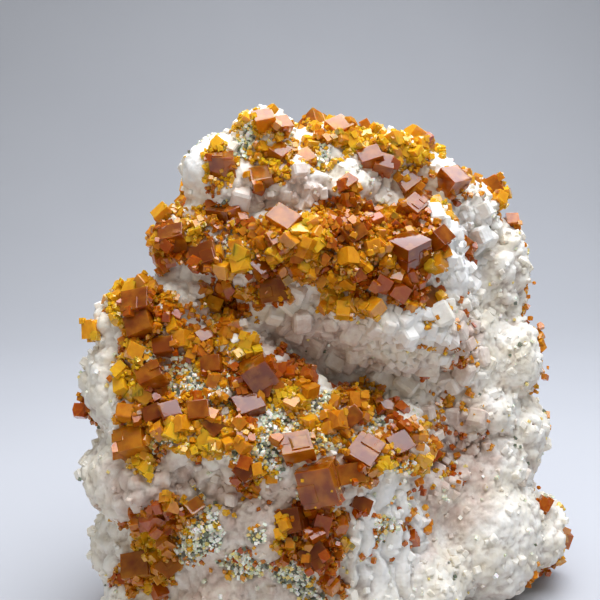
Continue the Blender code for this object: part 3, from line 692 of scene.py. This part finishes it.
def amber_glass(name, low, high, cloudy, cloud_size, clear, glow, roughness, absorption, density):
    """Chabazite: clear amber zeolite with fine clouds within, which glow where the light gets into them."""
    made, tree, shader = new_material(name)
    place = node(tree, "ShaderNodeTexCoord").outputs["Object"]
    clouds = node(tree, "ShaderNodeTexNoise", {"Scale": PER_MM / cloud_size, "Detail": 4.0}, Vector=place)
    flaws = node(tree, "ShaderNodeTexNoise", {"Scale": PER_MM / 0.35, "Detail": 2.0}, Vector=place)
    drift = node(tree, "ShaderNodeMapRange", {"From_Min": 0.35, "From_Max": 0.65, "To_Min": -cloudy,
                                              "To_Max": cloudy}, Value=clouds.outputs["Fac"])
    tint = node(tree, "ShaderNodeMath", {"operation": "ADD", "use_clamp": True}, _0=value_of(tree, "tint"),
                _1=drift.outputs["Result"])
    colour = mixed(tree, tint.outputs[0], low, high)
    tree.links.new(colour, shader.inputs["Base Color"])
    rough = node(tree, "ShaderNodeMapRange", {"From_Min": 0.35, "From_Max": 0.75, "To_Min": roughness[0],
                                              "To_Max": roughness[1]}, Value=clouds.outputs["Fac"])
    tree.links.new(rough.outputs["Result"], shader.inputs["Roughness"])
    shader.inputs["IOR"].default_value = 1.48
    shader.inputs["Transmission Weight"].default_value = clear
    shader.inputs["Subsurface Weight"].default_value = 1.0
    shader.inputs["Subsurface Radius"].default_value = glow
    shader.inputs["Subsurface Scale"].default_value = MM
    shader.inputs["Coat Weight"].default_value = 0.4
    shader.inputs["Coat Roughness"].default_value = 0.04
    shader.inputs["Coat IOR"].default_value = 1.5
    fine = node(tree, "ShaderNodeBump", {"Strength": 0.08, "Distance": 0.03 * MM},
                Height=flaws.outputs["Fac"])
    wavy = node(tree, "ShaderNodeBump", {"Strength": 0.06, "Distance": 0.2 * MM},
                Height=clouds.outputs["Fac"], Normal=fine.outputs["Normal"])
    tree.links.new(wavy.outputs["Normal"], shader.inputs["Normal"])
    depth = node(tree, "ShaderNodeVolumeAbsorption", {"Color": absorption, "Density": density})
    tree.links.new(depth.outputs["Volume"], tree.nodes["Material Output"].inputs["Volume"])
    return made


# The thick ones run from orange to red-brown; their tint also carries painted light and shade, yellower where
# they face up.
amber = amber_glass("clear_amber_chabazite", "#A65408", "#FFAE22", 0.28, 2.6, 0.58, (1.2, 0.9, 0.25),
                    (0.02, 0.12), (0.97, 0.72, 0.04, 1.0), 420.0)


# Where the clumps are red-brown: (across, up) of the middle, half widths, turn, and how much
DEEP_BEDS = [
    ((-4.0, -11.5), (6.0, 4.5), 0, 0.5),
    ((1.7, -41.0), (5.5, 7.5), 0, 0.8),
    ((17.0, 8.0), (6.0, 7.0), 0, 0.45),
    ((-18.0, -12.0), (4.5, 3.5), 0, 0.45),
    ((12.0, -33.0), (3.0, 3.0), 0, 0.3),
    ((-9.5, -13.0), (3.0, 4.0), 0, 0.4),
]
# Where they are paler: along the crown and in the cleft to the left of the brow.
PALE_BEDS = [((2.0, 26.0), (27.0, 7.0), 0, 1.0), ((-24.0, -42.0), (7.0, 8.0), 0, 0.8)]
TINT_SPREAD = 0.25
LARGE_TINT = 0.75  # thick crystals are deeper in colour than thin ones


def painted_light_and_clump_tint(chance, spot, normal, depth):
    """Painted light and shade in a crystal's colour: yellow (1) where it faces up into the light or stands in
    the open, orange to red-brown (0) where it lies deep in shade; and, as the crystals' own variation,
    changing from one clump to the next."""
    clump = 0.9 * noise.noise(Vector(spot) / 5.0)
    drawn = on_drawing(np.array([spot]))
    drift = (0.4 * inside(drawn, PALE_BEDS)[0] - 0.7 * inside(drawn, DEEP_BEDS)[0]) * (normal[1] < 0.3)
    # Painted light: facing up makes the tint yellower, lying in a hollow makes it redder; the clump noise and
    # the spread are the crystals' own variation.
    tint = 0.42 + 0.35 * normal[2] - 0.9 * depth + clump + drift + chance.uniform(-TINT_SPREAD, TINT_SPREAD)
    return float(np.clip(tint, 0.0, 1.0))


def rooted(mesh, reach):
    """The faces of a crystal that lie along the rock."""
    near = {v: solid.find_nearest(v.co / MM)[3] < reach for v in mesh.verts}
    return [face for face in mesh.faces if all(near[v] for v in face.verts)]


def sink_root(mesh):
    """Draws the root of a crystal down into the crust."""
    root = rooted(mesh, ROOT_REACH)
    if not root:
        return
    drawn_down = bmesh.ops.extrude_face_region(mesh, geom=root)["geom"]
    bmesh.ops.delete(mesh, geom=root, context="FACES")
    for item in drawn_down:
        if isinstance(item, bmesh.types.BMVert):
            item.co -= solid.find_nearest(item.co / MM)[1] * ROOT_DEPTH * MM


def growth_plates(mesh, seed):
    """Raises a low plate on some of the larger faces."""
    wide = [f for f in mesh.faces if f.calc_area() > PLATED_FACE * MM * MM and len(f.verts) < 6]
    wide.sort(key=lambda f: [round(c / MM, 1) for c in f.calc_center_median()])
    picked = [f for i, f in enumerate(wide) if (i * 7 + seed * 3) % 5 < 1]
    for face in picked:
        high = PLATE_HEIGHT * (1.0 if (seed + len(face.verts)) % 3 else -0.7)
        bmesh.ops.inset_individual(mesh, faces=[face], thickness=PLATE_INSET * MM, depth=high * MM)


# Stepped growth: smaller blocks that share the axes of the crystal they grew with, and stand a little proud
# of its corners and edges.
STEP_SHARES = (0.25, 0.60)  # of the crystal's own edges
STEPS_PER_CORNER = 2
STEPPED_EDGE = 3.2  # the shortest crystal edge that carries steps
STEP_PROUD = (0.10, 0.30)


def corners_of(mesh):
    """The free corners of a crystal: (place, the three edges that leave it) in millimetres."""
    found = []
    for corner in mesh.verts:
        closed = [e for e in corner.link_edges if len(e.link_faces) == 2]
        sharp = [e for e in closed if e.calc_face_angle_signed(0.0) > 1.0]
        if len(sharp) == 3 and len(corner.link_edges) == 3:
            edges = np.array([(e.other_vert(corner).co - corner.co) / MM for e in sharp])
            free = solid.find_nearest(corner.co / MM)[3] > ROOT_REACH
            if free and np.linalg.norm(edges, axis=1).min() > STEPPED_EDGE:
                found.append((np.array(corner.co / MM), edges))
    return found


def steps_on(corners, chance):
    """Blocks that step out of a crystal beside its corners: (middle, axes) each."""
    steps = []
    for corner, edges in corners:
        for _ in range(chance.integers(1, STEPS_PER_CORNER + 1)):
            share = chance.uniform(*STEP_SHARES)
            along = chance.uniform(0.0, 1.0, size=3) * (1.0 - share) + share / 2
            proud = chance.uniform(*STEP_PROUD, size=3) / np.linalg.norm(edges, axis=1)
            flush = chance.integers(0, 3)
            along[flush] = share / 2 - proud[flush]
            if chance.random() < 0.6:
                other = (flush + 1) % 3
                along[other] = share / 2 - proud[other]
            steps.append((corner + along @ edges, edges * share))
    return steps


def united(crystal, added):
    """Joins the added object to a crystal, as one closed skin."""
    union = crystal.modifiers.new("union", "BOOLEAN")
    union.operation = "UNION"
    union.solver = "EXACT"
    union.use_self = True
    union.object = added
    only(crystal)
    bpy.ops.object.modifier_apply(modifier="union")
    bpy.data.objects.remove(added, do_unlink=True)


chance = np.random.default_rng(3)
soft_block = [block_form(0.025)]
crystal_nodes = sorted(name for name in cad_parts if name.startswith("chabazite_"))
large_points, large_faces = [], []
for seed, name in enumerate(crystal_nodes):
    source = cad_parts[name].data
    large_faces += [tuple(v + len(large_points) for v in p.vertices) for p in source.polygons]
    large_points += [tuple(v.co / MM) for v in source.vertices]
    mesh = bmesh.new()
    mesh.from_mesh(source)
    bmesh.ops.remove_doubles(mesh, verts=mesh.verts[:], dist=0.00001)
    bmesh.ops.dissolve_limit(mesh, angle_limit=math.radians(1.0), verts=mesh.verts[:], edges=mesh.edges[:])
    steps = steps_on(corners_of(mesh), chance)
    root = set(rooted(mesh, ROOT_REACH))
    sharp = [
        e
        for e in mesh.edges
        if len(e.link_faces) == 2
        and e.calc_face_angle_signed(0.0) > 0.35
        and not any(f in root for f in e.link_faces)
    ]
    bmesh.ops.bevel(mesh, geom=sharp, offset=EDGE_ROUND * MM, segments=2, profile=0.6, affect="EDGES",
                    clamp_overlap=False)
    sink_root(mesh)
    made = bpy.data.meshes.new(name + "_clear")
    mesh.to_mesh(made)
    mesh.free()
    crystal = new_object(name + "_clear", made)
    if steps:
        united(crystal, joined_blocks("steps", steps, soft_block))
    mesh = bmesh.new()
    mesh.from_mesh(crystal.data)
    growth_plates(mesh, seed)
    bmesh.ops.triangulate(mesh, faces=mesh.faces[:])
    bmesh.ops.recalc_face_normals(mesh, faces=mesh.faces[:])
    mesh.to_mesh(crystal.data)
    mesh.free()
    crystal.data.validate()
    middle = sum((Vector(p) for p in large_points[-len(source.vertices):]), Vector()) / len(source.vertices)
    outwards = solid.find_nearest(middle)[1]
    # The tint carries painted light and shade: yellower where the crystal faces up, redder as it lies in a
    # hollow.
    tint = painted_light_and_clump_tint(chance, middle, outwards, LARGE_SHADE) * LARGE_TINT
    store(crystal.data, "tint", np.full(len(crystal.data.vertices), tint))
    crystal.data.materials.clear()
    crystal.data.materials.append(amber)
    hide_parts(name)
    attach(crystal, "root")
large_tree = BVHTree.FromPolygons(large_points, large_faces)


# ---- Small chabazite --------------------------------------------------------------------------------------
# Thousands of rhombs of 0.6 to 3.2 mm that grew between and on the large ones, in heaped beds along the
# crown, the middle band and the slope. They are joined in one mesh to each side of the specimen.

SMALL_LEAST = 0.6
SMALL_MOST = 3.2
SMALL_TRIES = 110000
SMALL_RARITY = 4.2  # the higher, the fewer of them are large
SMALL_CROWDING = (0.22, 0.26)  # at the front and at the rear
SMALL_TILT = 0.55
REAR_SHARE = 0.33  # the rear carries this share of the front's richness
LENGTHS = (0.8, 1.12)  # the edges of one crystal, as shares of its size
DRUSE_HOLDS = 0.92  # this share of the small crystals gives way where druse grows
ON_LARGE = 0.30  # small crystals to the square millimetre on the sides of the large ones
BARE_FACES = [
    ((3.4, -31.0), (3.6, 3.8), 0),
    ((-7.1, -12.2), (2.9, 2.9), 0),
    ((-2.7, 13.4), (3.0, 3.0), 0),
    ((18.5, 8.2), (2.6, 2.6), 0),
]
EDGE_ANGLE = math.radians(94.0)

taken = {}
small = {"front": [], "rear": []}
spots, spot_normals, depth, luck = skin_samples(SMALL_TRIES, 11)
rich, front = bed_richness(spots, spot_normals, CHABAZITE_BEDS, 10.0, 1.0, 0.06)
rich *= 1.0 - DRUSE_HOLDS * bed_richness(spots, spot_normals, DRUSE_BEDS, 11.0, 3.0, 0.22)[0]
for i in np.flatnonzero(luck < rich * np.where(front, 1.0, REAR_SHARE)):
    chance = lot_at(spots[i], 11)
    share = chance.random() ** SMALL_RARITY * min(1.0, rich[i] + 0.15)
    size = SMALL_LEAST + (SMALL_MOST - SMALL_LEAST) * share
    heaped = chance.random() < 0.3 * rich[i]
    lift = chance.uniform(0.8, 1.5) if heaped else size * chance.uniform(0.0, 0.42)
    place = spots[i] + spot_normals[i] * lift
    hit, outwards = large_tree.find_nearest(Vector(place))[:2]
    if (Vector(place) - hit).dot(outwards) < size * 0.22:
        continue
    if not kept_apart(taken, place, size, SMALL_CROWDING[0 if front[i] else 1]):
        continue
    axes = rhomb_axes(jolted(chance, spot_normals[i], SMALL_TILT), chance.uniform(0, math.pi), EDGE_ANGLE)
    axes = axes * (size * chance.uniform(*LENGTHS, size=3))[:, None]
    side = "front" if front[i] else "rear"
    # The tint carries painted light and shade: yellower where the crust faces up, redder deep in a hollow.
    tint = painted_light_and_clump_tint(chance, spots[i], spot_normals[i], depth[i])
    small[side].append((place, axes, tint))
    for _ in range(chance.integers(0, 5) if size > 1.2 else 0):
        share = chance.uniform(0.3, 0.65)
        corner = (chance.choice((-1, 1), size=3) * (0.56 - share * chance.uniform(0.2, 0.5, size=3))) @ axes
        small[side].append((place + corner, axes * share, min(1.0, tint + chance.uniform(0.0, 0.25))))

for face in large_faces:
    a, b, c = (np.array(large_points[v]) for v in face[:3])
    square = np.cross(b - a, c - a)
    wide = np.linalg.norm(square) / 2
    normal = square / (2 * wide)
    chance = lot_at((a + b + c) / 3, 12)
    for _ in range(chance.poisson(wide * ON_LARGE) if normal[2] < 0.55 else 0):
        u, v = sorted(chance.random(2))
        spot = a * u + b * (v - u) + c * (1 - v)
        bare = inside(on_drawing(spot[None]), BARE_FACES)[0] > 0.3 and normal[1] < 0
        if bare or noise.noise(Vector(spot) / 2.6) < -0.05:
            continue
        size = 0.6 + 1.5 * chance.random() ** 2.0
        place = spot + normal * size * chance.uniform(-0.15, 0.2)
        if kept_apart(taken, place, size, 0.30):
            axes = rhomb_axes(jolted(chance, normal, 0.4), chance.uniform(0, math.pi), EDGE_ANGLE)
            side = "front" if facing_eye(spot[None], normal[None])[0] > 0.5 else "rear"
            small[side].append((place, axes * (size * chance.uniform(*LENGTHS, size=3))[:, None],
                                painted_light_and_clump_tint(chance, spot, normal, 0.2)))

# The thin ones glow yellow to orange; each crystal has its own tint, which also carries painted light and
# shade: yellower where it faces up, redder deep in a hollow.
honey = amber_glass("small_honey_chabazite", "#B85404", "#FFBE26", 0.10, 0.8, 0.20, (0.45, 0.42, 0.16),
                    (0.02, 0.10), (0.99, 0.72, 0.05, 1.0), 340.0)
chipped_blocks = [block_form(0.0), block_form(0.06)] + [chipped_form(seed) for seed in range(6)]
for side, placed in small.items():
    bed = joined_blocks("small_chabazite_" + side, [one[:2] for one in placed], chipped_blocks, 0.95,
                        tint=[one[2] for one in placed])
    bed.data.materials.append(honey)
    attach(bed, "root")
    print("small chabazite", side, len(placed))


# ---- Golden grains ----------------------------------------------------------------------------------------
# The youngest chabazite: yellow grains under a millimetre, on and between the small crystals, along the rims
# of the druse, and here and there on the sides of the large crystals.

GOLD_LEAST = 0.35
GOLD_MOST = 0.95
GOLD_TRIES = 52000
GOLD_REAR = 0.25
GOLD_CROWDING = 0.34
GOLD_ON_LARGE = 0.025  # grains to the square millimetre on the sides of the large crystals

golden = []
spots, spot_normals, depth, luck = skin_samples(GOLD_TRIES, 13)
rich, front = bed_richness(spots, spot_normals, CHABAZITE_BEDS, 10.0, 1.0, 0.10)
rim = bed_richness(spots, spot_normals, DRUSE_BEDS, 11.0, 3.0, 0.30)[0]
rich = np.maximum(rich * 0.5, np.clip(1.0 - np.abs(rim - 0.4) * 3.0, 0.0, 1.0) * 0.8)
crowd = {}
for i in np.flatnonzero(luck < rich * np.where(front, 1.0, GOLD_REAR)):
    chance = lot_at(spots[i], 13)
    size = chance.uniform(GOLD_LEAST, GOLD_MOST)
    place = spots[i] + spot_normals[i] * size * chance.uniform(0.0, 0.5)
    if kept_apart(crowd, place, size, GOLD_CROWDING):
        # The tint carries painted light and shade: yellower where the crust faces up, redder deep in a
        # hollow.
        golden.append((place, size, spot_normals[i], painted_light_and_clump_tint(chance, spots[i], spot_normals[i], depth[i])))
for place, axes, tint in small["front"]:
    chance = lot_at(place, 14)
    for _ in range(chance.integers(0, 3)):
        side = chance.uniform(-0.5, 0.5, size=3)
        side[chance.integers(0, 3)] = chance.choice((-0.5, 0.5))
        golden.append((place + side @ axes, chance.uniform(0.3, 0.7), side @ axes, tint))
for face in large_faces:
    a, b, c = (np.array(large_points[v]) for v in face[:3])
    square = np.cross(b - a, c - a)
    wide = np.linalg.norm(square) / 2
    chance = lot_at((a + b + c) / 3, 15)
    if square[2] < wide * 1.2:
        for _ in range(chance.poisson(wide * GOLD_ON_LARGE)):
            u, v = sorted(chance.random(2))
            spot = a * u + b * (v - u) + c * (1 - v)
            golden.append((spot, chance.uniform(0.3, 0.75), square, 0.7))
blocks, tints = [], []
for place, size, normal, tint in golden:
    chance = lot_at(place, 16)
    away = Vector(normal) if Vector(normal).length > 1e-6 else Vector((0, 0, 1))
    axes = rhomb_axes(jolted(chance, away.normalized(), 0.7), chance.uniform(0, math.pi), EDGE_ANGLE)
    if place[2] > size:
        blocks.append((place, axes * (size * chance.uniform(0.7, 1.15, size=3))[:, None]))
        tints.append(min(1.0, tint + 0.15))
gold = joined_blocks("golden_grains", blocks, [block_form(0.0)], tint=tints)
gold.data.materials.append(honey)
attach(gold, "root")
print("golden grains", len(blocks))


# ---- Druse ------------------------------------------------------------------------------------------------
# Glassy grains of 0.3 to 0.7 mm, white, pale green and straw, of the last zeolite to grow. They lie like
# coarse salt over the dark ground between the crystals.

GRAIN_LEAST = 0.34
GRAIN_MOST = 0.70
GRAIN_TRIES = 240000
GRAIN_REAR = 0.4
GRAIN_STRAY = 0.004
GRAIN_CROWDING = 0.40
GRAIN_SHADES = [0.05, 0.20, 0.45, 0.62, 0.80]
GRAIN_SHARES = [0.13, 0.30, 0.25, 0.14, 0.18]

grains = {"front": [], "rear": []}
spots, spot_normals, depth, luck = skin_samples(GRAIN_TRIES, 17)
rich, front = bed_richness(spots, spot_normals, DRUSE_BEDS, 11.0, 3.0, 0.22)
crowd = {}
for i in np.flatnonzero(luck < rich * np.where(front, 1.0, GRAIN_REAR) + GRAIN_STRAY):
    chance = lot_at(spots[i], 17)
    size = chance.uniform(GRAIN_LEAST, GRAIN_MOST)
    place = spots[i] + spot_normals[i] * size * chance.uniform(0.0, 0.6)
    hit, outwards = large_tree.find_nearest(Vector(place))[:2]
    if (Vector(place) - hit).dot(outwards) < 0 or not kept_apart(crowd, place, size, GRAIN_CROWDING):
        continue
    axes = rhomb_axes(jolted(chance, spot_normals[i], 0.8), chance.uniform(0, math.pi), EDGE_ANGLE)
    axes = axes * (size * chance.uniform(0.7, 1.2, size=3))[:, None]
    grains["front" if front[i] else "rear"].append((place, axes, chance.choice(GRAIN_SHADES, p=GRAIN_SHARES)))

# Glassy zeolite grains: most are frosty white, some pale green or straw, a few dark.
salt, tree, shader = new_material("glassy_druse")
tint = node(tree, "ShaderNodeValToRGB", {}, Fac=value_of(tree, "tint"))
tint.color_ramp.interpolation = "CONSTANT"
steps = [(0.0, "#6E7460"), (0.10, "#DCE0C4"), (0.30, "#F6F4E4"), (0.55, "#FFFDF4"), (0.70, "#F2DC8C")]
while len(tint.color_ramp.elements) < len(steps):
    tint.color_ramp.elements.new(0.5)
for element, (position, colour) in zip(tint.color_ramp.elements, steps):
    element.position = position
    element.color = linear(colour)
tree.links.new(tint.outputs["Color"], shader.inputs["Base Color"])
shader.inputs["Roughness"].default_value = 0.16
shader.inputs["IOR"].default_value = 1.5
shader.inputs["Subsurface Weight"].default_value = 0.3
shader.inputs["Subsurface Scale"].default_value = 0.3 * MM
shader.inputs["Coat Weight"].default_value = 0.6
shader.inputs["Coat Roughness"].default_value = 0.08
for side, placed in grains.items():
    bed = joined_blocks("druse_" + side, [one[:2] for one in placed], [block_form(0.0)],
                        tint=[one[2] for one in placed])
    bed.data.materials.append(salt)
    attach(bed, "root")
    print("druse", side, len(placed))
